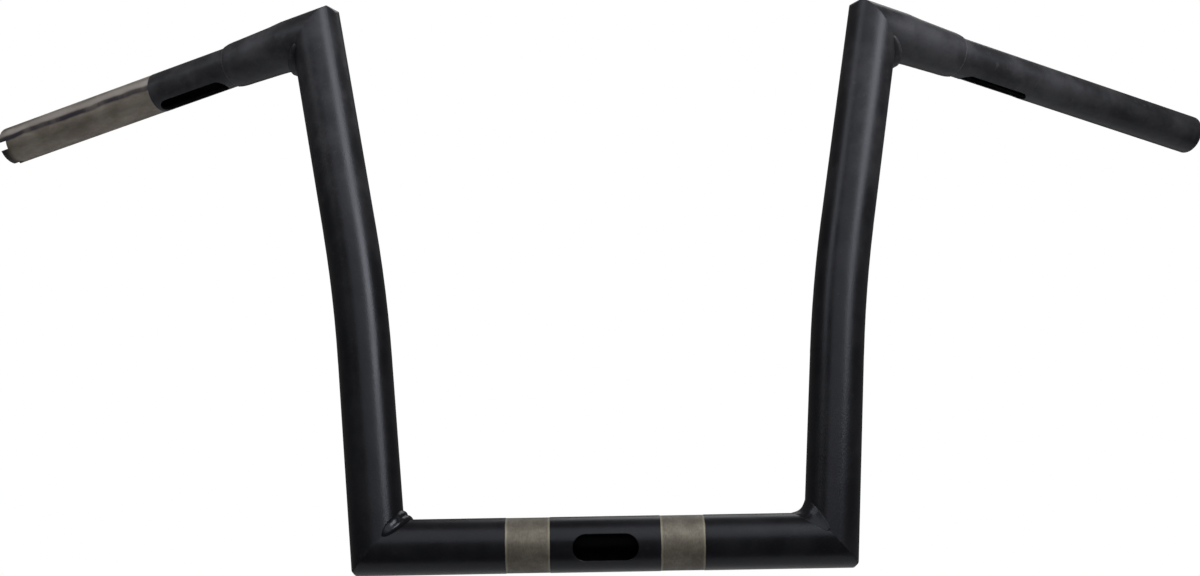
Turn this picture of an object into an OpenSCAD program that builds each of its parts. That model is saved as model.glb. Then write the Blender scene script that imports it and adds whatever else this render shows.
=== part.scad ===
// Touring handlebar welded from seven tubes: a crossbar, two bent uprights,
// two tapered necks and two one-inch hand tubes. Millimetres, +Z up, +Y towards
// the rider, origin at the middle of the crossbar. The throttle side is at -X.

/* [Fat tube] */
// Outer diameter of the steel of the crossbar, the uprights and the necks
main_d = 31.75; // [30:0.05:34]
// Wall of that tube
main_wall = 3.1; // [2.8:0.05:3.1]
// Length of the crossbar between the centres of its two corners
crossbar_len = 262; // [230:1:300]

/* [Uprights] */
// Angle by which the uprights lean back towards the rider
lean_back = 16.9; // [5:0.1:25]
// Centreline length from the lower corner to the middle of the bend
lower_leg = 153.6; // [110:0.1:200]
// Centreline length from the middle of the bend to the top corner
upper_leg = 172.5; // [120:0.1:230]
// Outward angle of the upright below its bend
lower_flare = 4.9; // [2:0.1:7]
// Outward angle of the upright above its bend
upper_flare = 10.2; // [8:0.1:14]
// Centreline radius of the bend
bend_r = 900; // [500:10:1000]
// Swell of the tube's radius where it is bent
bend_swell = 0.05; // [0.03:0.01:0.15]

/* [Corners] */
// Radius to which the point of each lower corner is ground
lower_round = 5; // [2:0.1:8]
// Radius to which the point of each top corner is ground
top_round = 6.2; // [2:0.1:8]
// Radius of the hollow weld that is dressed smooth inside the lower clutch corner
hollow_weld_r = 9.5; // [6:0.1:11]
// Depth by which the edges of the hollow weld bite into the tubes
weld_bite = 0.4; // [0.2:0.05:0.8]
// Height of the rounded weld over the inside of the lower throttle corner
lower_crown = 4.3; // [3:0.1:5]
// Radius of that weld
lower_lump_r = 8.8; // [7:0.1:10]
// Height of the rounded welds over the inside of the top corners
top_crown = 3.8; // [2.5:0.1:4.5]
// Radius of those welds
top_lump_r = 8; // [6.5:0.1:9.5]

/* [Necks] */
// Length from the top corner's centre to the neck's mouth
neck_len = 64.5; // [60:0.5:76]
// Length of the neck's root that keeps the full diameter
neck_root_len = 21; // [21:0.5:26]
// Distance from the corner's centre to the neck's waist
neck_waist_at = 31; // [28:0.5:36]
// Steel diameter of the neck at its waist
neck_waist_d = 30.3; // [29.6:0.05:31]
// Steel diameter of the neck where its rounded nose begins
neck_nose_d = 28.8; // [28:0.05:29.5]
// Length of the rounded nose
neck_nose_len = 9.5; // [6:0.5:14]
// Steel diameter of the neck at its mouth
neck_mouth_d = 26.8; // [26.4:0.05:27.6]
// Section radius of the weld bead round the neck's mouth
mouth_weld_r = 1.1; // [0.6:0.05:1.8]

/* [Hand tubes] */
// Outer diameter of the steel of the hand tubes
hand_d = 25.4; // [24.8:0.05:25.45]
// Wall of the hand tubes
hand_wall = 2.4; // [1.6:0.05:3]
// Length of each hand tube inside its neck
socket_depth = 38; // [25:0.5:42]
// Length of the throttle hand tube outside its neck
throttle_len = 190.5; // [165:0.5:230]
// Length of the clutch hand tube outside its neck
clutch_len = 205.5; // [165:0.5:230]
// Bare length at the end of the throttle hand tube, where the sleeve turns
throttle_bare_len = 129.7; // [90:0.1:131]
// Angle by which the hand tubes sweep back
sweep = 24.6; // [10:0.1:35]
// Angle by which the hand tubes droop
droop = 14.4; // [5:0.1:25]
// Radius of the rounded edge at the free ends
end_round = 1.2; // [0.4:0.1:1.6]

/* [Wiring slots] */
// Length of the slot in the middle of the crossbar
crossbar_slot_len = 38.5; // [25:0.5:50]
// Width of the slot in the middle of the crossbar
crossbar_slot_w = 16; // [8:0.5:18]
// Length of the slot under each hand tube
hand_slot_len = 53; // [30:0.5:54]
// Width of the slot under each hand tube
hand_slot_w = 12.7; // [6:0.1:14]
// Distance from the neck's mouth to the near end of the throttle side's slot
throttle_slot_start = 6; // [3:0.5:7.5]
// Distance from the neck's mouth to the near end of the clutch side's slot
clutch_slot_start = 8; // [3:0.5:10]
// Turn of the throttle side's slot from straight down towards the front
throttle_slot_turn = 25; // [0:1:60]
// Turn of the clutch side's slot from straight down towards the front
clutch_slot_turn = 8; // [0:1:60]

/* [Throttle end] */
// Number of notches in the end of the throttle hand tube
notch_count = 4; // [2:1:6]
// Width of a notch
notch_w = 6; // [3:0.1:7]
// Depth of a notch
notch_depth = 6.5; // [3:0.1:10]

/* [Finish] */
// Thickness of the black coat on the steel
coat_t = 0.16; // [0.05:0.01:0.3]
// Width of each bare band on the crossbar, where the riser clamps hold it
band_w = 25.4; // [20:0.1:28]
// Distance between the centres of the bare bands
band_spacing = 88.9; // [80:0.1:110]

/* [Hidden] */
$fn = 96;

coat_black = [0.13, 0.13, 0.14];
weld_black = [0.2, 0.2, 0.22];
bare_steel = [0.42, 0.4, 0.36];

main_r = main_d / 2;
coated_r = main_r + coat_t;
bore_r = main_r - main_wall;
hand_r = hand_d / 2;
hand_coated_r = hand_r + coat_t;
hand_bore_r = hand_r - hand_wall;

// Straight length that a tube keeps past a corner's centre before it is mitred
mitre_spare = 2 * main_d;
// Length by which the straight legs run on into the bend
bend_lap = 0.5;
// How far the circle of a ground corner stands past the tubes' outer lines
tip_swell = 0.06;
// How much thinner than the tubes the hollow weld is
weld_slim = 0.5;
// Size of the blocks that cut the mitres, and overrun of every other cutter
cutter = 6 * main_d;
overrun = 1;

// Turns a vector of the uprights' own plane back by their lean
function leaned(v) = [v.x, v.z * sin(lean_back), v.z * cos(lean_back)];
function unit(v) = v / norm(v);

// Directions and corner points of the clutch side; the throttle side mirrors them
across = [1, 0, 0];
lower_dir = leaned([sin(lower_flare), 0, cos(lower_flare)]);
upper_dir = leaned([sin(upper_flare), 0, cos(upper_flare)]);
hand_dir = [cos(sweep) * cos(droop), sin(sweep), -cos(sweep) * sin(droop)];
lower_corner = [crossbar_len / 2, 0, 0];
bend_point = lower_corner + lower_leg * lower_dir;
top_corner = bend_point + upper_leg * upper_dir;
bend_tangent = bend_r * tan((upper_flare - lower_flare) / 2);

// Points of a quarter of an ellipse from [r1, z1], level with the axis, to [r2, z2]
nose_steps = 10;
function nose(r1, z1, r2, z2) = [for (i = [0 : nose_steps])
    let (a = 90 * i / nose_steps)
    [r2 + (r1 - r2) * cos(a), z1 + (z2 - z1) * sin(a)]];

// Moves the children so that their Z axis runs from p along d
module along(p, d) {
    u = unit(d);
    translate(p) rotate([0, acos(u.z), atan2(u.y, u.x)]) children();
}

// Everything past the plane through p that n stands on
module beyond(p, n) {
    along(p, n) translate([-cutter / 2, -cutter / 2, 0]) cube([cutter, cutter, cutter]);
}

// The hand tube's own frame: Z along the tube, +X down, -Y to the front
module hand_frame() {
    translate(top_corner) rotate([0, 90 + droop, 0]) rotate([-sweep, 0, 0]) children();
}

// The plane of a corner: X out of its inside, Z across it, with both tubes in XY
module corner_frame(p, d_in, d_out) {
    x = unit(d_in - d_out);
    y = unit(d_in + d_out);
    z = cross(x, y);
    multmatrix([
        [x.x, y.x, z.x, p.x],
        [x.y, y.y, z.y, p.y],
        [x.z, y.z, z.z, p.z],
        [0, 0, 0, 1]]) children();
}

// What grinding takes off the point of a corner
module corner_tip(p, d_in, d_out, tip_r) {
    half = acos(d_in * d_out) / 2;
    centre = (coated_r + tip_swell - tip_r) / cos(half);
    corner_frame(p, d_in, d_out) difference() {
        translate([centre + tip_r * cos(half), -main_d, -main_d])
            cube([main_d, 2 * main_d, 2 * main_d]);
        translate([centre, 0, -2 * main_d]) cylinder(r = tip_r, h = 4 * main_d);
    }
}

// A solid bar of radius r along an upright's centreline, past both corners
module upright_bar(r) {
    along(lower_corner - mitre_spare * lower_dir, lower_dir)
        cylinder(r = r, h = mitre_spare + lower_leg - bend_tangent + bend_lap);
    along(bend_point + (bend_tangent - bend_lap) * upper_dir, upper_dir)
        cylinder(r = r, h = mitre_spare + upper_leg - bend_tangent + bend_lap);
    rotate([-lean_back, 0, 0])
        translate([crossbar_len / 2, 0, 0])
        rotate([0, lower_flare, 0])
        translate([bend_r, 0, lower_leg - bend_tangent])
        rotate([90, 0, 0])
        rotate([0, 0, 180 - upper_flare + lower_flare])
        rotate_extrude(angle = upper_flare - lower_flare)
        translate([bend_r, 0]) circle(r = r + bend_swell);
}

module crossbar_bar(r) {
    along([-crossbar_len / 2 - mitre_spare, 0, 0], across)
        cylinder(r = r, h = crossbar_len + 2 * mitre_spare);
}

module bare_bands() {
    for (side = [-1, 1])
        along([side * band_spacing / 2 - band_w / 2, 0, 0], across)
            difference() {
                cylinder(r = coated_r + overrun, h = band_w);
                translate([0, 0, -overrun]) cylinder(r = main_r, h = band_w + 2 * overrun);
            }
}

// A slot with round ends, its middle at the origin and its length along X
module obround(length, width) {
    square([length - width, width], center = true);
    for (side = [-1, 1])
        translate([side * (length - width) / 2, 0]) circle(d = width);
}

module crossbar_body() {
    difference() {
        crossbar_bar(coated_r);
        crossbar_bar(bore_r);
        bare_bands();
        rotate([90, 0, 0]) linear_extrude(height = main_d)
            obround(crossbar_slot_len, crossbar_slot_w);
        for (side = [0, 1])
            mirror([side, 0, 0]) {
                beyond(lower_corner, across + lower_dir);
                corner_tip(lower_corner, across, lower_dir, lower_round);
            }
    }
}

module upright_body() {
    difference() {
        upright_bar(coated_r);
        upright_bar(bore_r);
        beyond(lower_corner, -across - lower_dir);
        beyond(top_corner, upper_dir + hand_dir);
        corner_tip(lower_corner, across, lower_dir, lower_round);
        corner_tip(top_corner, upper_dir, hand_dir, top_round);
    }
}

// Outline of the neck: full root, long taper to the waist and nose, rounded mouth
module neck_outline() {
    nose_at = neck_len - neck_nose_len;
    polygon(concat(
        [[0, -mitre_spare], [coated_r, -mitre_spare], [coated_r, neck_root_len],
            [neck_waist_d / 2 + coat_t, neck_waist_at]],
        nose(neck_nose_d / 2 + coat_t, nose_at, neck_mouth_d / 2 + coat_t, neck_len),
        [[0, neck_len]]));
}

module neck_bar() {
    rotate_extrude() neck_outline();
}

module neck_body() {
    difference() {
        hand_frame() difference() {
            neck_bar();
            translate([0, 0, -mitre_spare - overrun])
                cylinder(r = bore_r, h = neck_len + mitre_spare + 2 * overrun);
        }
        beyond(top_corner, -upper_dir - hand_dir);
        corner_tip(top_corner, upper_dir, hand_dir, top_round);
    }
}

// Outline of a hand tube: bare spigot, coated stretch, bare end with a round edge
module hand_bar(out_len, bare_len) {
    tube_end = neck_len + out_len;
    end_r = bare_len > 0 ? hand_r : hand_coated_r;
    rotate_extrude() polygon(concat(
        [[0, neck_len - socket_depth], [hand_r, neck_len - socket_depth],
            [hand_r, neck_len + mouth_weld_r], [hand_coated_r, neck_len + mouth_weld_r]],
        bare_len > 0 ? [[hand_coated_r, tube_end - bare_len]] : [],
        bare_len > 0 ? [[hand_r, tube_end - bare_len]] : [],
        nose(end_r, tube_end - end_round, end_r - end_round, tube_end),
        [[0, tube_end]]));
}

module hand_tube(out_len, bare_len, slot_start, slot_turn) {
    difference() {
        hand_bar(out_len, bare_len);
        translate([0, 0, neck_len - socket_depth - overrun])
            cylinder(r = hand_bore_r, h = socket_depth + out_len + 2 * overrun);
        rotate([0, 0, -slot_turn])
            translate([0, 0, neck_len + slot_start + hand_slot_len / 2])
            rotate([0, 90, 0]) linear_extrude(height = hand_d)
            obround(hand_slot_len, hand_slot_w);
        children();
    }
}

module throttle_notches() {
    for (i = [0 : notch_count - 1])
        rotate([0, 0, 360 / notch_count * i])
            translate([hand_bore_r - overrun, -notch_w / 2,
                neck_len + throttle_len - notch_depth])
            cube([hand_wall + 2 * overrun, notch_w, notch_depth + overrun]);
}

// Stock of a weld with a hollow face that fills the inside of a corner
module hollow_weld(p, d_in, d_out, face_r) {
    half = acos(d_in * d_out) / 2;
    section_r = coated_r - weld_slim;
    from_axis = coated_r + face_r - weld_bite;
    corner_frame(p, d_in, d_out)
        translate([-from_axis / cos(half), 0, 0])
        rotate([0, 0, -half])
        rotate_extrude(angle = 2 * half)
        translate([face_r + section_r, 0]) circle(r = section_r);
}

// Stock of a rounded weld: a ball whose far side stands over the inside of a corner
module lump_weld(p, d_in, d_out, crown, lump_r) {
    half = acos(d_in * d_out) / 2;
    corner_frame(p, d_in, d_out)
        translate([lump_r - crown - coated_r / cos(half), 0, 0])
        sphere(r = lump_r);
}

// Leaves of the children what stands outside the tubes of the lower corner
module off_lower_tubes() {
    difference() {
        children();
        crossbar_bar(coated_r);
        upright_bar(coated_r);
    }
}

module lower_hollow_weld() {
    off_lower_tubes() hollow_weld(lower_corner, across, lower_dir, hollow_weld_r);
}

module lower_lump_weld() {
    off_lower_tubes() lump_weld(lower_corner, across, lower_dir, lower_crown, lower_lump_r);
}

module top_weld() {
    difference() {
        lump_weld(top_corner, upper_dir, hand_dir, top_crown, top_lump_r);
        upright_bar(coated_r);
        hand_frame() neck_bar();
    }
}

// Bead of the weld that joins a hand tube to the neck's mouth
module mouth_weld() {
    rotate_extrude() difference() {
        translate([hand_r, neck_len]) circle(r = mouth_weld_r, $fn = 32);
        neck_outline();
        translate([0, neck_len - socket_depth]) square([hand_r, 2 * socket_depth]);
    }
}

module crossbar() {
    color(coat_black) crossbar_body();
}

module upright_clutch() {
    color(coat_black) upright_body();
}

module upright_throttle() {
    color(coat_black) mirror([1, 0, 0]) upright_body();
}

module neck_clutch() {
    color(coat_black) neck_body();
}

module neck_throttle() {
    color(coat_black) mirror([1, 0, 0]) neck_body();
}

module hand_tube_clutch() {
    color(coat_black) hand_frame() hand_tube(clutch_len, 0, clutch_slot_start, clutch_slot_turn);
}

module hand_tube_throttle() {
    color(bare_steel) mirror([1, 0, 0]) hand_frame()
        hand_tube(throttle_len, throttle_bare_len, throttle_slot_start, throttle_slot_turn)
        throttle_notches();
}

module weld_lower_clutch() {
    color(weld_black) lower_hollow_weld();
}

module weld_lower_throttle() {
    color(weld_black) mirror([1, 0, 0]) lower_lump_weld();
}

module weld_top_clutch() {
    color(weld_black) top_weld();
}

module weld_top_throttle() {
    color(weld_black) mirror([1, 0, 0]) top_weld();
}

module weld_mouth_clutch() {
    color(weld_black) hand_frame() mouth_weld();
}

module weld_mouth_throttle() {
    color(weld_black) mirror([1, 0, 0]) hand_frame() mouth_weld();
}

crossbar();
upright_throttle();
upright_clutch();
neck_throttle();
neck_clutch();
hand_tube_throttle();
hand_tube_clutch();
weld_lower_throttle();
weld_lower_clutch();
weld_top_throttle();
weld_top_clutch();
weld_mouth_throttle();
weld_mouth_clutch();
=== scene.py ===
# %% [markdown]
# # A tall handlebar welded from steel tube
#
# The real object is seven pieces of tube: a crossbar, two bent uprights, two tapered necks and two
# slimmer hand tubes, welded at mitred joints and then powder coated in satin black. The coat was
# masked off where clamps hold the crossbar and where the throttle sleeve turns on its hand tube.
# The tubes come in as exact solids, so this lesson is about finish: what a coat of powder does to
# light, how bare tube looks straight from the mill, and how weld beads are laid.

# %% Load the tubes
import math

import bpy
import numpy as np
from mathutils import Matrix, Vector


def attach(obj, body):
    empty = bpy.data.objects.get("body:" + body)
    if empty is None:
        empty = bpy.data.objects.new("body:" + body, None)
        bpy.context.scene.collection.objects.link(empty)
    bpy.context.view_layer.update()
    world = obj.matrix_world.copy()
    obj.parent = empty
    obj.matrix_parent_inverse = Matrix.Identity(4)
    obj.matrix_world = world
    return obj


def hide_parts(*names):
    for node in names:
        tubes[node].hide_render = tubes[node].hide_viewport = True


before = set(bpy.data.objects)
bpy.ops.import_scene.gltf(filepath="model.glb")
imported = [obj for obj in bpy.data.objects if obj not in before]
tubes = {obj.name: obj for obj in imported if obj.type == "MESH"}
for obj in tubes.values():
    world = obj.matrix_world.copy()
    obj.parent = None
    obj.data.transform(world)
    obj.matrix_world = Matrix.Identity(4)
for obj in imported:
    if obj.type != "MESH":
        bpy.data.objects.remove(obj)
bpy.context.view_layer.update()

# %% [markdown]
# Everything that follows sits on the centrelines of the tubes, so their layout is worked out first,
# from the same few sizes that the solids were drawn with. The uprights lean back and flare outwards
# in two straight legs. The hand tubes sweep back and droop. Only the clutch side is worked out: the
# throttle side is its mirror image across the plane X = 0.

# %% Lay out the centrelines
MM = 0.001
COAT_R = 16.035 * MM
HAND_COAT_R = 12.86 * MM
HAND_STEEL_R = 12.7 * MM
HALF_CROSSBAR = 131 * MM
LOWER_LEG = 153.6 * MM
UPPER_LEG = 172.5 * MM
LOWER_FLARE = math.radians(4.9)
UPPER_FLARE = math.radians(10.2)
LEAN = math.radians(16.9)
SWEEP = math.radians(24.6)
DROOP = math.radians(14.4)

# Places along a hand tube are counted from the top corner, and places of the bands from the middle
NECK_LEN = 64.5 * MM
BARE_FROM = 125.3 * MM
THROTTLE_END = 255 * MM
BAND_CENTRE = 44.45 * MM
BAND_HALF = 12.7 * MM


def leg(length, flare):
    """A straight leg of an upright: straight up, tipped outwards by flare and back by the lean."""
    up = math.cos(flare)
    return length * np.array([math.sin(flare), up * math.sin(LEAN), up * math.cos(LEAN)])


lower_corner = np.array([HALF_CROSSBAR, 0, 0])
lower_leg = leg(LOWER_LEG, LOWER_FLARE)
upper_leg = leg(UPPER_LEG, UPPER_FLARE)
top_corner = lower_corner + lower_leg + upper_leg

# The hand tube's own frame: along it, down from it, and square to both towards the front
aside = math.cos(SWEEP)
hand_along = np.array([aside * math.cos(DROOP), math.sin(SWEEP), -aside * math.sin(DROOP)])
hand_down = np.array([-math.sin(DROOP), 0, -math.cos(DROOP)])
hand_front = np.cross(hand_down, hand_along)
MIRROR = np.array([-1, 1, 1])
SIDES = {"throttle": MIRROR, "clutch": np.ones(3)}
print("top corner at", np.round(top_corner / MM, 1), "mm")
print("the front of a hand tube faces", np.round(hand_front, 3))

# %% [markdown]
# The camera comes early, because it decides which details matter. It looks from the front of the
# motorcycle, a little over a metre away, through a normal lens. The view is level, but turned and
# rolled by just under a degree. A camera is placed most surely by its own axes: X to the right of
# the picture, Y up it, and Z back towards the eye.

# %% Place the camera
CAMERA_AT = Vector((-0.01485, -1.0499, 0.148))
TURN = 0.0135
ROLL = -0.0155
look = Vector((math.sin(TURN), math.cos(TURN), 0))
level_right = Vector((math.cos(TURN), -math.sin(TURN), 0))
level_up = Vector((0, 0, 1))
picture_right = math.cos(ROLL) * level_right + math.sin(ROLL) * level_up
picture_up = math.cos(ROLL) * level_up - math.sin(ROLL) * level_right

camera = bpy.data.objects.new("camera", bpy.data.cameras.new("camera"))
camera.data.sensor_width = 36
camera.data.lens = 54.51
axes = Matrix((picture_right, picture_up, -look)).transposed().to_4x4()
camera.matrix_world = Matrix.Translation(CAMERA_AT) @ axes
bpy.context.collection.objects.link(camera)
bpy.context.scene.camera = camera
print(f"camera {-1000 * CAMERA_AT.y:.0f} mm in front of the crossbar, {camera.data.lens} mm lens")

# %% [markdown]
# Nodes are easier to read as short calls than as screens of settings. Most of these helpers make one
# node, plug in what they are given, and hand back its output. A number goes on the socket itself, and
# an output of another node becomes a link. All finishes of the bar share one weak and faintly blue
# gloss, because that is how the black looks in the photo.


# %% Helpers for building finishes
GLOSS = 0.25
TINT = (0.84, 0.88, 1.0, 1)


class Finish:
    """A node material in the making. Its methods add nodes and return the useful output."""

    def __init__(self, name):
        self.material = bpy.data.materials.new(name)
        self.material.use_nodes = True
        self.nodes = self.material.node_tree.nodes
        self.links = self.material.node_tree.links
        self.shader = self.nodes["Principled BSDF"]
        self.place = self.nodes.new("ShaderNodeTexCoord").outputs["Object"]

    def plug(self, socket, value):
        if isinstance(value, bpy.types.NodeSocket):
            self.links.new(value, socket)
        else:
            socket.default_value = value

    def maths(self, operation, a, b=0.0):
        node = self.nodes.new("ShaderNodeMath")
        node.operation = operation
        self.plug(node.inputs[0], a)
        self.plug(node.inputs[1], b)
        return node.outputs[0]

    def remap(self, value, low, high, to_low=0.0, to_high=1.0, smooth=True):
        node = self.nodes.new("ShaderNodeMapRange")
        node.interpolation_type = "SMOOTHSTEP" if smooth else "LINEAR"
        for number, item in enumerate((value, low, high, to_low, to_high)):
            self.plug(node.inputs[number], item)
        return node.outputs[0]

    def noise(self, at, scale, detail=3.0, roughness=0.5, stretch=None):
        if stretch is not None:
            at = self.mapped(at, scale=stretch)
        node = self.nodes.new("ShaderNodeTexNoise")
        self.plug(node.inputs["Vector"], at)
        self.plug(node.inputs["Scale"], scale)
        self.plug(node.inputs["Detail"], detail)
        self.plug(node.inputs["Roughness"], roughness)
        return node.outputs["Fac"]

    def mapped(self, at, location=(0, 0, 0), rotation=(0, 0, 0), scale=(1, 1, 1)):
        node = self.nodes.new("ShaderNodeMapping")
        self.plug(node.inputs["Vector"], at)
        self.plug(node.inputs["Location"], location)
        self.plug(node.inputs["Rotation"], rotation)
        self.plug(node.inputs["Scale"], scale)
        return node.outputs[0]

    def split(self, vector):
        node = self.nodes.new("ShaderNodeSeparateXYZ")
        self.plug(node.inputs[0], vector)
        return node.outputs

    def blend(self, amount, a, b):
        node = self.nodes.new("ShaderNodeMix")
        node.data_type = "RGBA"
        self.plug(node.inputs["Factor"], amount)
        self.plug(node.inputs["A"], (*a, 1) if isinstance(a, tuple) else a)
        self.plug(node.inputs["B"], (*b, 1) if isinstance(b, tuple) else b)
        return node.outputs["Result"]

    def mix_number(self, amount, a, b):
        node = self.nodes.new("ShaderNodeMix")
        self.plug(node.inputs["Factor"], amount)
        self.plug(node.inputs["A"], a)
        self.plug(node.inputs["B"], b)
        return node.outputs["Result"]

    def wander(self, at, scale, amount):
        """Noise that swings about zero, by up to half the amount either way."""
        centred = self.maths("SUBTRACT", self.noise(at, scale), 0.5)
        return self.maths("MULTIPLY", centred, amount)

    def away(self, value, middle):
        """How far a value is from a middle one, either way."""
        return self.maths("ABSOLUTE", self.maths("SUBTRACT", value, middle))

    def bumped(self, height, depth):
        node = self.nodes.new("ShaderNodeBump")
        self.plug(node.inputs["Height"], height)
        self.plug(node.inputs["Distance"], depth)
        return node.outputs[0]

    def done(self, colour, roughness, metallic, normal):
        self.shader.inputs["Specular IOR Level"].default_value = GLOSS
        self.shader.inputs["Specular Tint"].default_value = TINT
        self.plug(self.shader.inputs["Base Color"], colour)
        self.plug(self.shader.inputs["Roughness"], roughness)
        self.plug(self.shader.inputs["Metallic"], metallic)
        self.plug(self.shader.inputs["Normal"], normal)
        print(f"{self.material.name}: {len(self.nodes)} nodes")
        return self.material


def throttle_tube_place(finish):
    """Object coordinates in the throttle tube's frame: X down from it, Y to its front, Z along it.

    A point p has the frame's coordinates R(p - c), which is Rp - Rc, so the Mapping node turns by R
    and then moves by -Rc. R has the three directions as its rows, and c is the top corner."""
    turned = Matrix([hand_down * MIRROR, hand_front * MIRROR, hand_along * MIRROR])
    moved = turned @ Vector(top_corner * MIRROR)
    return finish.mapped(finish.place, location=-moved, rotation=turned.to_euler("XYZ"))


# %% [markdown]
# Powder coat is a baked plastic film. It melts level but never quite flat, which leaves the faint
# waviness that painters call orange peel, about a millimetre from crest to crest, over a much finer
# grain that makes it satin instead of glossy. Its black is never even: it is greyer at the top
# corners and on the hand tubes, partly from handling and dust and partly as painted light that lifts
# the top of the bar, and dust sits on it in flecks. A painted image could hold all that, but it would
# need unwrapped tubes. Noise and the place on the bar do without: two blacks, two greys, a share of
# grey that grows with height and reach and falls again towards the ends, and two layers of bump.


# %% The satin black coat
COAT_BLACK = (0.0050, 0.0050, 0.0062)
COAT_WORN = (0.0095, 0.0095, 0.0110)
COAT_DUST_AND_SHEEN = (0.021, 0.021, 0.0235)
COAT_MOST_DUST_AND_SHEEN = (0.056, 0.056, 0.062)
COAT_FLECK = (0.075, 0.075, 0.083)
BUMP_DEPTH = 0.04 * MM


def dust_and_sheen_share(finish):
    """How grey the coat is with handling, dust and painted light: 0 at the crossbar, 1 just outside
    the top corners.
    """
    x, _, z = finish.split(finish.place)
    from_middle = finish.maths("ABSOLUTE", x)
    # Greyer with height and reach: partly dust, partly painted light that lifts the top of the bar
    high = finish.remap(z, 120 * MM, 290 * MM, 0.0, 0.5)
    outside = finish.remap(from_middle, 170 * MM, 210 * MM, 0.0, 0.5)
    towards_end = finish.remap(from_middle, 240 * MM, 390 * MM, 1.0, 0.45)
    return finish.maths("MULTIPLY", finish.maths("ADD", high, outside), towards_end)


def coat_layers(finish):
    """Colour, roughness and height of the satin coat."""
    dust_and_sheen = dust_and_sheen_share(finish)
    cloudy = finish.noise(finish.place, 38.0, 4.0, 0.6)
    patchy = finish.remap(cloudy, 0.35, 0.7)
    colour = finish.blend(patchy, COAT_BLACK, COAT_WORN)
    colour = finish.blend(dust_and_sheen, colour, finish.blend(patchy, COAT_DUST_AND_SHEEN, COAT_MOST_DUST_AND_SHEEN))
    flecks = finish.remap(finish.noise(finish.place, 230.0, 5.0, 0.75), 0.57, 0.74)
    fleck_strength = finish.remap(dust_and_sheen, 0.0, 1.0, 0.08, 0.6, smooth=False)
    colour = finish.blend(finish.maths("MULTIPLY", flecks, fleck_strength), colour, COAT_FLECK)
    roughness = finish.remap(cloudy, 0.3, 0.75, 0.28, 0.35)
    roughness = finish.maths("ADD", roughness, finish.maths("MULTIPLY", dust_and_sheen, 0.12))
    peel = finish.noise(finish.place, 850.0, 1.0, 0.4)
    grain = finish.noise(finish.place, 2600.0, 2.0, 0.6)
    height = finish.maths("ADD", peel, finish.maths("MULTIPLY", grain, 0.25))
    return colour, roughness, height


def satin_coat():
    finish = Finish("satin_black_coat")
    colour, roughness, height = coat_layers(finish)
    return finish.done(colour, roughness, 0.0, finish.bumped(height, BUMP_DEPTH))


coat = satin_coat()

# %% [markdown]
# The small beads round the necks' mouths and the rims of the slots under the hand tubes stand proud.
# Their finish is the same coat, blended in patches with a paler grey, a painted highlight on them.


# %% The coat of mouth beads and slot rims, with a painted highlight
COAT_EDGE_HIGHLIGHT = (0.085, 0.085, 0.094)


def coat_with_edge_highlight():
    finish = Finish("black_coat_edge_highlight")
    colour, roughness, height = coat_layers(finish)
    # Paler grey in patches: a painted highlight on the proud beads and rims
    edge_highlight = finish.remap(finish.noise(finish.place, 260.0, 3.0, 0.6), 0.3, 0.6, 0.2, 1.0)
    colour = finish.blend(edge_highlight, colour, COAT_EDGE_HIGHLIGHT)
    return finish.done(colour, roughness, 0.0, finish.bumped(height, BUMP_DEPTH))


edge_highlight_coat = coat_with_edge_highlight()

# %% [markdown]
# Where the coat was masked off, the tube shows as it came: dull warm grey steel with mill scale. The
# two clamp bands were rubbed down, so fine scratches run round the tube, over a grain like cloth, and
# a painted highlight runs along their rims. The solids are 0.16 mm slimmer there, so the edge of the
# coat is real. The finish only has to know where the bands are, which is a matter of the distance
# along X.


# %% The crossbar, with its bare bands
BAND_DARK = (0.125, 0.112, 0.092)
BAND_STEEL = (0.185, 0.170, 0.140)
BAND_SCRATCH = (0.20, 0.185, 0.155)
BAND_GRAIN = (0.075, 0.068, 0.056)
BAND_RIM_HIGHLIGHT = (0.34, 0.32, 0.24)
EDGE_BLUR = 0.1 * MM


def band_steel(finish, edge, scratches):
    """The colour of a bare band, where edge is how far a point is from the band's middle."""
    stain = finish.noise(finish.place, 110.0, 4.0, 0.65)
    steel = finish.blend(finish.remap(stain, 0.35, 0.7), BAND_DARK, BAND_STEEL)
    steel = finish.blend(finish.remap(scratches, 0.45, 0.75, 0.0, 0.3), steel, BAND_SCRATCH)
    grain = finish.noise(finish.place, 1300.0, 2.0, 0.6, stretch=(1.0, 0.45, 0.45))
    steel = finish.blend(finish.remap(grain, 0.4, 0.68, 0.0, 0.3), steel, BAND_GRAIN)
    # A painted highlight along both rims of the band
    rim = finish.remap(edge, BAND_HALF - 1.6 * MM, BAND_HALF - 0.6 * MM, 0.0, 0.45)
    return finish.blend(rim, steel, BAND_RIM_HIGHLIGHT)


def crossbar_finish():
    finish = Finish("coat_with_clamp_bands")
    coat_colour, coat_rough, coat_height = coat_layers(finish)
    x = finish.split(finish.place)[0]
    from_band = finish.away(finish.maths("ABSOLUTE", x), BAND_CENTRE)
    edge = finish.maths("ADD", from_band, finish.wander(finish.place, 160.0, 0.6 * MM))
    bare = finish.remap(edge, BAND_HALF + EDGE_BLUR, BAND_HALF - EDGE_BLUR)
    scratches = finish.noise(finish.place, 1500.0, 2.0, 0.6, stretch=(1.0, 0.06, 0.06))
    colour = finish.blend(bare, coat_colour, band_steel(finish, edge, scratches))
    steel_rough = finish.remap(scratches, 0.3, 0.7, 0.5, 0.62)
    roughness = finish.mix_number(bare, coat_rough, steel_rough)
    metallic = finish.maths("MULTIPLY", bare, 0.55)
    height = finish.mix_number(bare, coat_height, scratches)
    return finish.done(colour, roughness, metallic, finish.bumped(height, BUMP_DEPTH))


crossbar_coat = crossbar_finish()

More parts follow.
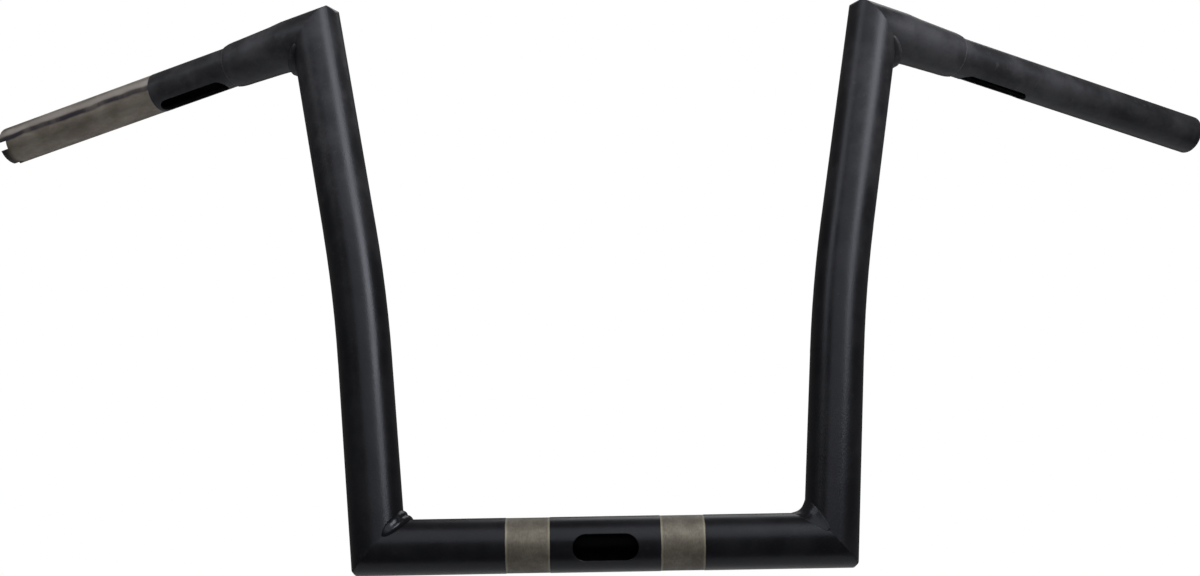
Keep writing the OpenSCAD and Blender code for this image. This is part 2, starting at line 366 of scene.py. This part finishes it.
# %% [markdown]
# The throttle end is left bare over half its length. It still has its mill finish: brown-grey scale
# in soft blotches and a dark blue line where the tube's own seam was welded and rolled flat. Beside
# the line runs a pale streak of painted highlight. The cut end is darkened, more on its lower side,
# and the bore is darkened as painted shade. These follow the tube, so they are drawn in its own frame,
# with the angle round it worked out from the two cross directions.


# %% The mill finish of the bare throttle end
SCALE_DARK = (0.195, 0.167, 0.137)
SCALE_PALE = (0.350, 0.318, 0.272)
SCALE_FINE = (0.27, 0.245, 0.205)
STREAK_HIGHLIGHT = (0.42, 0.39, 0.375)
SEAM = (0.032, 0.028, 0.040)
END_DARK_AND_BORE_SHADE = (0.012, 0.011, 0.010)
SEAM_ANGLE = math.radians(19)
SEAM_TO_STREAK = 0.38


def with_seam_and_highlight(finish, steel, at, down, front):
    """Steel with the tube's dark seam and a pale streak of painted highlight above it, by the angle
    round the tube.
    """
    angle = finish.maths("ARCTAN2", finish.maths("MULTIPLY", down, -1.0), front)
    off_seam = finish.maths("ADD", angle, finish.wander(at, 45.0, 0.3))
    off_seam = finish.maths("SUBTRACT", off_seam, SEAM_ANGLE)
    # A pale streak of painted highlight beside the seam
    streak = finish.remap(finish.away(off_seam, SEAM_TO_STREAK), 0.32, 0.05)
    steel = finish.blend(finish.maths("MULTIPLY", streak, 0.6), steel, STREAK_HIGHLIGHT)
    seam = finish.remap(finish.maths("ABSOLUTE", off_seam), 0.21, 0.07)
    uneven = finish.noise(at, 70.0, 3.0, stretch=(0.3, 0.3, 1.0))
    strength = finish.remap(uneven, 0.30, 0.60, 0.62, 0.95)
    return finish.blend(finish.maths("MULTIPLY", seam, strength), steel, SEAM)


def with_dark_end_and_bore_shade(finish, steel, down, front, along):
    """Steel darkened on the cut end, mostly on its lower side, and with painted shade in the bore.

    The bore is where down squared plus front squared is less than a radius squared."""
    # The cut end darkened, more on its lower side
    dark_end = finish.remap(along, THROTTLE_END - 9.5 * MM, THROTTLE_END - 3 * MM, 0.0, 0.85)
    low = finish.remap(down, -6 * MM, 5 * MM, 0.3, 1.0)
    down_squared = finish.maths("MULTIPLY", down, down)
    squares = finish.maths("ADD", down_squared, finish.maths("MULTIPLY", front, front))
    bore_edge = (HAND_STEEL_R - 0.4 * MM) ** 2
    # Painted shade in the bore, nearly black
    bore_shade = finish.remap(squares, bore_edge, (HAND_STEEL_R - 1.2 * MM) ** 2, 0.0, 0.93)
    darkening = finish.maths("MAXIMUM", finish.maths("MULTIPLY", dark_end, low), bore_shade)
    return finish.blend(darkening, steel, END_DARK_AND_BORE_SHADE)


# %% The throttle tube, half coated and half bare
def throttle_tube_finish():
    finish = Finish("coat_and_mill_steel")
    coat_colour, coat_rough, coat_height = coat_layers(finish)
    at = throttle_tube_place(finish)
    down, front, along = finish.split(at)
    blotches = finish.noise(at, 75.0, 5.0, 0.65, stretch=(1.0, 1.0, 0.45))
    fine = finish.noise(at, 900.0, 3.0, 0.6, stretch=(1.0, 1.0, 0.25))
    steel = finish.blend(finish.remap(blotches, 0.32, 0.7), SCALE_DARK, SCALE_PALE)
    steel = finish.blend(finish.remap(fine, 0.45, 0.8, 0.0, 0.35), steel, SCALE_FINE)
    steel = with_seam_and_highlight(finish, steel, at, down, front)
    ragged = finish.maths("ADD", along, finish.wander(at, 160.0, 0.9 * MM))
    steel = with_dark_end_and_bore_shade(finish, steel, down, front, ragged)
    bare = finish.remap(ragged, BARE_FROM - EDGE_BLUR, BARE_FROM + EDGE_BLUR)
    colour = finish.blend(bare, coat_colour, steel)
    steel_rough = finish.remap(blotches, 0.3, 0.7, 0.46, 0.60)
    roughness = finish.mix_number(bare, coat_rough, steel_rough)
    metallic = finish.maths("MULTIPLY", bare, 0.5)
    height = finish.mix_number(bare, coat_height, fine)
    return finish.done(colour, roughness, metallic, finish.bumped(height, BUMP_DEPTH))


throttle_coat = throttle_tube_finish()

# %% Give every tube its finish
OWN_FINISH = {"crossbar": crossbar_coat, "hand_tube_throttle": throttle_coat}
for name, piece in tubes.items():
    piece.data.materials.clear()
    piece.data.materials.append(OWN_FINISH.get(name, coat))
print("finished", len(tubes), "pieces")

# %% [markdown]
# Each corner is two tubes cut at the same slant and welded round the cut. The seam is an ellipse, and
# on its inner side the tubes meet in an angle that the weld fills. A bead could be a bevelled curve,
# but its two toes have to lie on two different tubes. So it is worked out as a band: at each point
# of the seam a path leaves one tube, rises over the angle and lands on the other. One helper turns a
# grid of points into a mesh, another gives the seam, and a third carries the band along it.


# %% Meshes from grids
def grid_mesh(name, grid, close_rows=False, close_columns=False, ends=False):
    """A mesh from a grid of points: each point joins the next of its row and of its column.

    Ends closes the first and last row with one face each. The volume under the faces, summed as
    pyramids from the middle of the points, is negative where a closed shape is inside out, and
    then its faces are turned."""
    rows, columns = grid.shape[:2]
    number = np.arange(rows * columns).reshape(rows, columns)
    if close_rows:
        number = np.concatenate([number, number[:1]])
    if close_columns:
        number = np.concatenate([number, number[:, :1]], axis=1)
    quads = np.stack([number[:-1, :-1], number[:-1, 1:], number[1:, 1:], number[1:, :-1]], axis=-1)
    quads = quads.reshape(-1, 4)
    points = grid.reshape(-1, 3)
    a, b, c, d = (points[quads[:, corner]] - points.mean(axis=0) for corner in range(4))
    volume = np.sum(np.cross(a, b) * c) + np.sum(np.cross(a, c) * d)
    faces = quads.tolist()
    if ends:
        faces += [number[0, :columns][::-1].tolist(), number[-1, :columns].tolist()]
    if close_columns and volume < 0:
        faces = [face[::-1] for face in faces]
    mesh = bpy.data.meshes.new(name)
    mesh.from_pydata(points.tolist(), [], faces)
    mesh.shade_smooth()
    piece = bpy.data.objects.new(name, mesh)
    bpy.context.collection.objects.link(piece)
    return piece


def finished(piece, material, replaced=None):
    """Gives a new piece its finish, ties it to the one rigid body, and hides the solid that it stands
    for, if one is given.
    """
    piece.data.materials.append(material)
    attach(piece, "root")
    if replaced:
        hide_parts(replaced)
    print(f"{piece.name}: {len(piece.data.polygons)} faces")


def unit(v):
    return v / np.linalg.norm(v, axis=-1, keepdims=True)


# %% The seam of a mitre
def mitre_seam(corner, along_in, along_out, turn):
    """Points of the seam and both tubes' normals there, at the given turns from the outer point.

    The plane of the cut holds the corner's outward direction and the direction across the corner.
    The seam is the ellipse R cos(turn) / cos(half) outwards and R sin(turn) across. A tube's normal
    is what is left of the way from the corner when the part along that tube is taken off."""
    outward = unit(along_in - along_out)
    across = np.cross(outward, unit(along_in + along_out))
    half = np.arccos(along_in @ along_out) / 2
    off = COAT_R * (np.cos(turn)[:, None] / np.cos(half) * outward + np.sin(turn)[:, None] * across)
    normals = [(off - (off @ way)[:, None] * way) / COAT_R for way in (along_in, along_out)]
    return corner + off, normals


# %% A bead along the inner side of a seam
RIPPLE_PITCH = 4.2 * MM
TOE_SINK = 0.12 * MM
ROOT_DEPTH = 1.0 * MM


def corner_bead(corner, along_in, along_out, reach, hollow, crown, spread, ends, ripple):
    """A band over the inner angle of a corner, from reach along one tube to reach along the other.

    Across the band, s runs from -1 to 1. The tubes are the V shape max(-s, 0) and max(s, 0), and
    half of s + root(s squared + hollow squared) rounds that V into a hollow. The crown is added as
    1 - s to the fourth, with small steps like fish scales, and both fade towards the band's ends,
    which lie spread degrees from the innermost point. The toes sink a little below the tubes, so
    that no gap shows there. Reach, crown and ripple are in millimetres."""
    half_turn = math.radians(spread)
    turn = np.linspace(math.pi - half_turn, math.pi + half_turn, 150)
    s = np.linspace(-1, 1, 25)
    seam, (normal_in, normal_out) = mitre_seam(corner, along_in, along_out, turn)
    fade = (1 - np.abs((turn - math.pi) / half_turn) ** ends) ** 0.6
    walked = np.concatenate([[0], np.cumsum(np.linalg.norm(np.diff(seam, axis=0), axis=1))])
    width = reach * MM * (0.2 + 0.8 * fade)

    def softened(s):
        return (s + np.sqrt(s ** 2 + hollow ** 2)) / 2 - (np.sqrt(1 + hollow ** 2) - 1) / 2

    def path(toward_in, toward_out):
        steps = toward_in[:, None] * -along_in + toward_out[:, None] * along_out
        return seam[:, None] + width[:, None, None] * steps

    share = (1 + s)[None, :, None] / 2
    normal = unit(normal_in[:, None] * (1 - share) + normal_out[:, None] * share)
    scales = np.mod(walked[:, None] / RIPPLE_PITCH + 0.55 * s ** 2, 1.0)
    scales = np.sin(math.pi * scales) ** 0.7 - 0.6
    height = (crown + ripple * scales) * MM * fade[:, None] * (1 - s ** 4) - TOE_SINK * s ** 8
    top = path(softened(-s), softened(s)) + height[..., None] * normal
    under = path(np.maximum(-s, 0), np.maximum(s, 0)) - ROOT_DEPTH * normal
    return np.concatenate([top, under[:, ::-1]], axis=1)


# %% The four corner beads
crossbar_along = np.array([1.0, 0, 0])
CORNERS = {
    "lower": (lower_corner, crossbar_along, unit(lower_leg)),
    "top": (top_corner, unit(upper_leg), hand_along),
}
BEADS = {
    "lower_throttle": dict(reach=5.6, hollow=0.4, crown=2.3, spread=76, ends=8, ripple=0.16),
    "lower_clutch": dict(reach=8.6, hollow=1.0, crown=0.1, spread=80, ends=2, ripple=0.12),
    "top_throttle": dict(reach=5.6, hollow=0.6, crown=4.6, spread=66, ends=2, ripple=0.22),
    "top_clutch": dict(reach=6.0, hollow=0.5, crown=4.6, spread=64, ends=2, ripple=0.30),
}
for name, sizes in BEADS.items():
    place, side = name.split("_")
    bead = corner_bead(*CORNERS[place], **sizes) * SIDES[side]
    piece = grid_mesh(f"bead_{name}", bead, close_columns=True, ends=True)
    finished(piece, coat, f"weld_{name}")

# %% [markdown]
# The outer point of each corner is ground round. The mesh of the solids shows that round as a facet
# or two, so a thin lens is laid on it: the part of a small cylinder that lies inside both tubes. Its
# radius is up to half a millimetre less than the solids' own, or the facets would hide it.


# %% The ground points of the corners
LENS_SKIN = 0.03 * MM
LENS_SINK = 0.1 * MM
POINT_R = {"lower": 4.6 * MM, "top": 5.7 * MM}


def ground_point(corner, along_in, along_out, radius):
    """A lens on the ground point of a corner: turn and side are its two parameters.

    The circle of the grinding touches both tubes' outer lines, so its centre is R - radius from
    both axes. At each turn the lens is as wide as the tubes are there: root(R squared - u squared),
    where u is the circle's distance from the nearer axis."""
    outward = unit(along_in - along_out)
    forward = unit(along_in + along_out)
    across = np.cross(outward, forward)
    half = np.arccos(along_in @ along_out) / 2
    turn = np.linspace(-0.97, 0.97, 41)[:, None] * half
    side = np.linspace(-1, 1, 25)[None, :]
    from_axis = COAT_R - radius + radius * np.cos(np.abs(turn) - half)
    wide = np.sqrt(np.maximum(COAT_R ** 2 - from_axis ** 2, 0))
    centre = corner + (COAT_R - radius) / np.cos(half) * outward
    spoke = np.cos(turn)[..., None] * outward + np.sin(turn)[..., None] * forward
    top = centre + (radius + LENS_SKIN - LENS_SINK * side ** 8)[..., None] * spoke
    under = centre + (radius - ROOT_DEPTH + 0 * side)[..., None] * spoke
    level = (wide * side)[..., None] * across
    return np.concatenate([top + level, (under + level)[:, ::-1]], axis=1)


for place, axes_of_corner in CORNERS.items():
    point = ground_point(*axes_of_corner, POINT_R[place])
    for side, sign in SIDES.items():
        piece = grid_mesh(f"point_{place}_{side}", point * sign, close_columns=True, ends=True)
        finished(piece, coat)

# %% [markdown]
# Powder draws back from a sharp edge and gathers just beside it, so each wiring slot has a soft rim.
# A rim is a small circle carried along the slot's outline, which is laid on the tube's surface.


# %% Rims of the wiring slots
RIM_R = 0.42 * MM
CROSSBAR_SLOT = (38.5 * MM, 16 * MM)
HAND_SLOT = (53 * MM, 12.7 * MM)
SLOT_START = {"throttle": 6 * MM, "clutch": 8 * MM}
SLOT_TURN = {"throttle": math.radians(25), "clutch": math.radians(8)}


def slot_rim(length, width, tube_r, middle, along, facing):
    """A small circle carried round a slot: a half circle at each end, joined by straight lines.

    Each point of the flat outline is moved down onto the tube by root(R squared - b squared)."""
    aside = np.cross(along, facing)
    turn = (np.arange(96) + 0.5) * 2 * math.pi / 96
    a = np.sign(np.cos(turn)) * (length - width) / 2 + width / 2 * np.cos(turn)
    b = width / 2 * np.sin(turn)
    out = np.sqrt((tube_r - RIM_R) ** 2 - b ** 2)
    path = middle + a[:, None] * along + out[:, None] * facing + b[:, None] * aside
    normal = unit(out[:, None] * facing + b[:, None] * aside)
    ahead = unit(np.roll(path, -1, axis=0) - np.roll(path, 1, axis=0))
    beside = unit(np.cross(ahead, normal))
    round_it = np.linspace(0, 2 * math.pi, 12, endpoint=False)[None, :, None]
    ring = np.cos(round_it) * normal[:, None] + np.sin(round_it) * beside[:, None]
    return path[:, None] + RIM_R * ring


front = np.array([0, -1.0, 0])
rim = slot_rim(*CROSSBAR_SLOT, COAT_R, np.zeros(3), crossbar_along, front)
finished(grid_mesh("rim_crossbar", rim, True, True), coat)
for side, sign in SIDES.items():
    turned = SLOT_TURN[side]
    middle = top_corner + (NECK_LEN + SLOT_START[side] + HAND_SLOT[0] / 2) * hand_along
    facing = math.cos(turned) * hand_down + math.sin(turned) * hand_front
    rim = slot_rim(*HAND_SLOT, HAND_COAT_R, middle, hand_along, facing) * sign
    finished(grid_mesh(f"rim_hand_{side}", rim, True, True), edge_highlight_coat)

# %% [markdown]
# The hand tube is welded into the neck with one small bead round its mouth. It is a ring whose
# thickness swells and shrinks in short steps, one for each dab of the welding wire.


# %% The beads round the necks' mouths
MOUTH_BEAD_R = 1.1 * MM
DAB = 1.9 * MM


def mouth_ring(radius, dab):
    """A ring round the hand tube: its section's radius changes as a rounded saw along the ring."""
    turn = np.linspace(0, 2 * math.pi, 480, endpoint=False)[:, None]
    section = np.linspace(0, 2 * math.pi, 16, endpoint=False)[None, :]
    dabs = np.sin(math.pi * np.mod(turn * HAND_STEEL_R / dab + 0.15 * np.cos(section), 1.0)) ** 0.8
    thick = radius * (0.86 + 0.14 * dabs)
    out = HAND_STEEL_R + thick * np.cos(section)
    ahead = NECK_LEN + thick * np.sin(section)
    spoke = np.cos(turn)[..., None] * hand_down + np.sin(turn)[..., None] * hand_front
    return top_corner + out[..., None] * spoke + ahead[..., None] * hand_along


for side, sign in SIDES.items():
    ring = grid_mesh(f"mouth_{side}", mouth_ring(MOUTH_BEAD_R, DAB) * sign, True, True)
    finished(ring, edge_highlight_coat, f"weld_mouth_{side}")

# %% [markdown]
# The picture is a cut-out on white, so the room is plain: a pale floor far below, which takes the
# shadow, and a white world. Both are white to the camera. To glossy and transmission rays both are
# only a tenth as bright, and the world is so to all other rays too, because a black gloss shows all
# that surrounds it, and a white room would turn it grey.


# %% The floor
ROOM_GLOW = 0.1
FLOOR_AT = -500 * MM
FLOOR_LIFT = 0.62
FLOOR_WHITE = (0.75, 0.75, 0.75, 1)
FLOOR_X = (-1.0, 1.0)
FLOOR_Y = (-0.3, 1.4)


def pale_floor():
    """A dull floor with light of its own, which lifts what the camera sees of it to white."""
    finish = Finish("pale_floor")
    rays = finish.nodes.new("ShaderNodeLightPath")
    shown = finish.maths("MAXIMUM", rays.outputs["Is Glossy Ray"], rays.outputs["Is Transmission Ray"])
    shown = finish.maths("MULTIPLY", shown, ROOM_GLOW)
    seen = finish.maths("MAXIMUM", rays.outputs["Is Camera Ray"], shown)
    finish.plug(finish.shader.inputs["Base Color"], FLOOR_WHITE)
    finish.plug(finish.shader.inputs["Roughness"], 1.0)
    finish.plug(finish.shader.inputs["Specular IOR Level"], 0.0)
    finish.plug(finish.shader.inputs["Emission Color"], (1, 1, 1, 1))
    finish.plug(finish.shader.inputs["Emission Strength"], finish.maths("MULTIPLY", seen, FLOOR_LIFT))
    return finish.material


floor_x, floor_y = np.meshgrid(FLOOR_X, FLOOR_Y)
floor = grid_mesh("floor", np.stack([floor_x, floor_y, FLOOR_AT + 0 * floor_x], axis=-1))
floor.data.materials.append(pale_floor())
print(f"floor {-FLOOR_AT / MM:.0f} mm below the crossbar")

# %% [markdown]
# Black gloss is drawn by what it reflects. The key is a tall soft box high on the right, and it puts
# one long streak down each upright. A weaker one on the left adds a second, fainter streak, and a
# wide one over the front edge lights the upper half of the crossbar and of the hand tubes. The last
# one stands behind, where it only lifts the back out of the dark.


# %% Lamps
MIDDLE_OF_BAR = Vector((0, 80 * MM, 150 * MM))


def soft_box(name, azimuth, elevation, distance, width, height, watts):
    """An area lamp seen from the middle of the bar at that azimuth from the front and elevation."""
    a = math.radians(azimuth)
    e = math.radians(elevation)
    towards = Vector((math.sin(a) * math.cos(e), -math.cos(a) * math.cos(e), math.sin(e)))
    lamp = bpy.data.lights.new(name, "AREA")
    lamp.shape = "RECTANGLE"
    lamp.size = width
    lamp.size_y = height
    lamp.energy = watts
    holder = bpy.data.objects.new(name, lamp)
    holder.location = MIDDLE_OF_BAR + distance * towards
    holder.rotation_euler = towards.to_track_quat("Z", "Y").to_euler()
    holder.visible_camera = False
    bpy.context.collection.objects.link(holder)
    print(f"{name}: {watts} W, {distance} m away")


soft_box("key_right", azimuth=50, elevation=40, distance=2.0, width=0.85, height=1.1, watts=30)
soft_box("fill_left", azimuth=-68, elevation=44, distance=2.0, width=0.6, height=1.1, watts=7)
soft_box("wide_top", azimuth=0, elevation=50, distance=2.0, width=2.0, height=2.1, watts=17)
soft_box("back_fill", azimuth=165, elevation=38, distance=2.2, width=1.2, height=1.0, watts=6)

# %% The white world
world = bpy.data.worlds.new("room")
world.use_nodes = True
room = world.node_tree.nodes["Background"]
rays = world.node_tree.nodes.new("ShaderNodeLightPath")
level = world.node_tree.nodes.new("ShaderNodeMapRange")
world.node_tree.links.new(rays.outputs["Is Camera Ray"], level.inputs["Value"])
level.inputs["To Min"].default_value = ROOM_GLOW
world.node_tree.links.new(level.outputs["Result"], room.inputs["Strength"])
room.inputs["Color"].default_value = (1, 1, 1, 1)
bpy.context.scene.world = world
bpy.context.scene.view_settings.view_transform = "Standard"
print("the world is white to the camera and", ROOM_GLOW, "to all other rays")
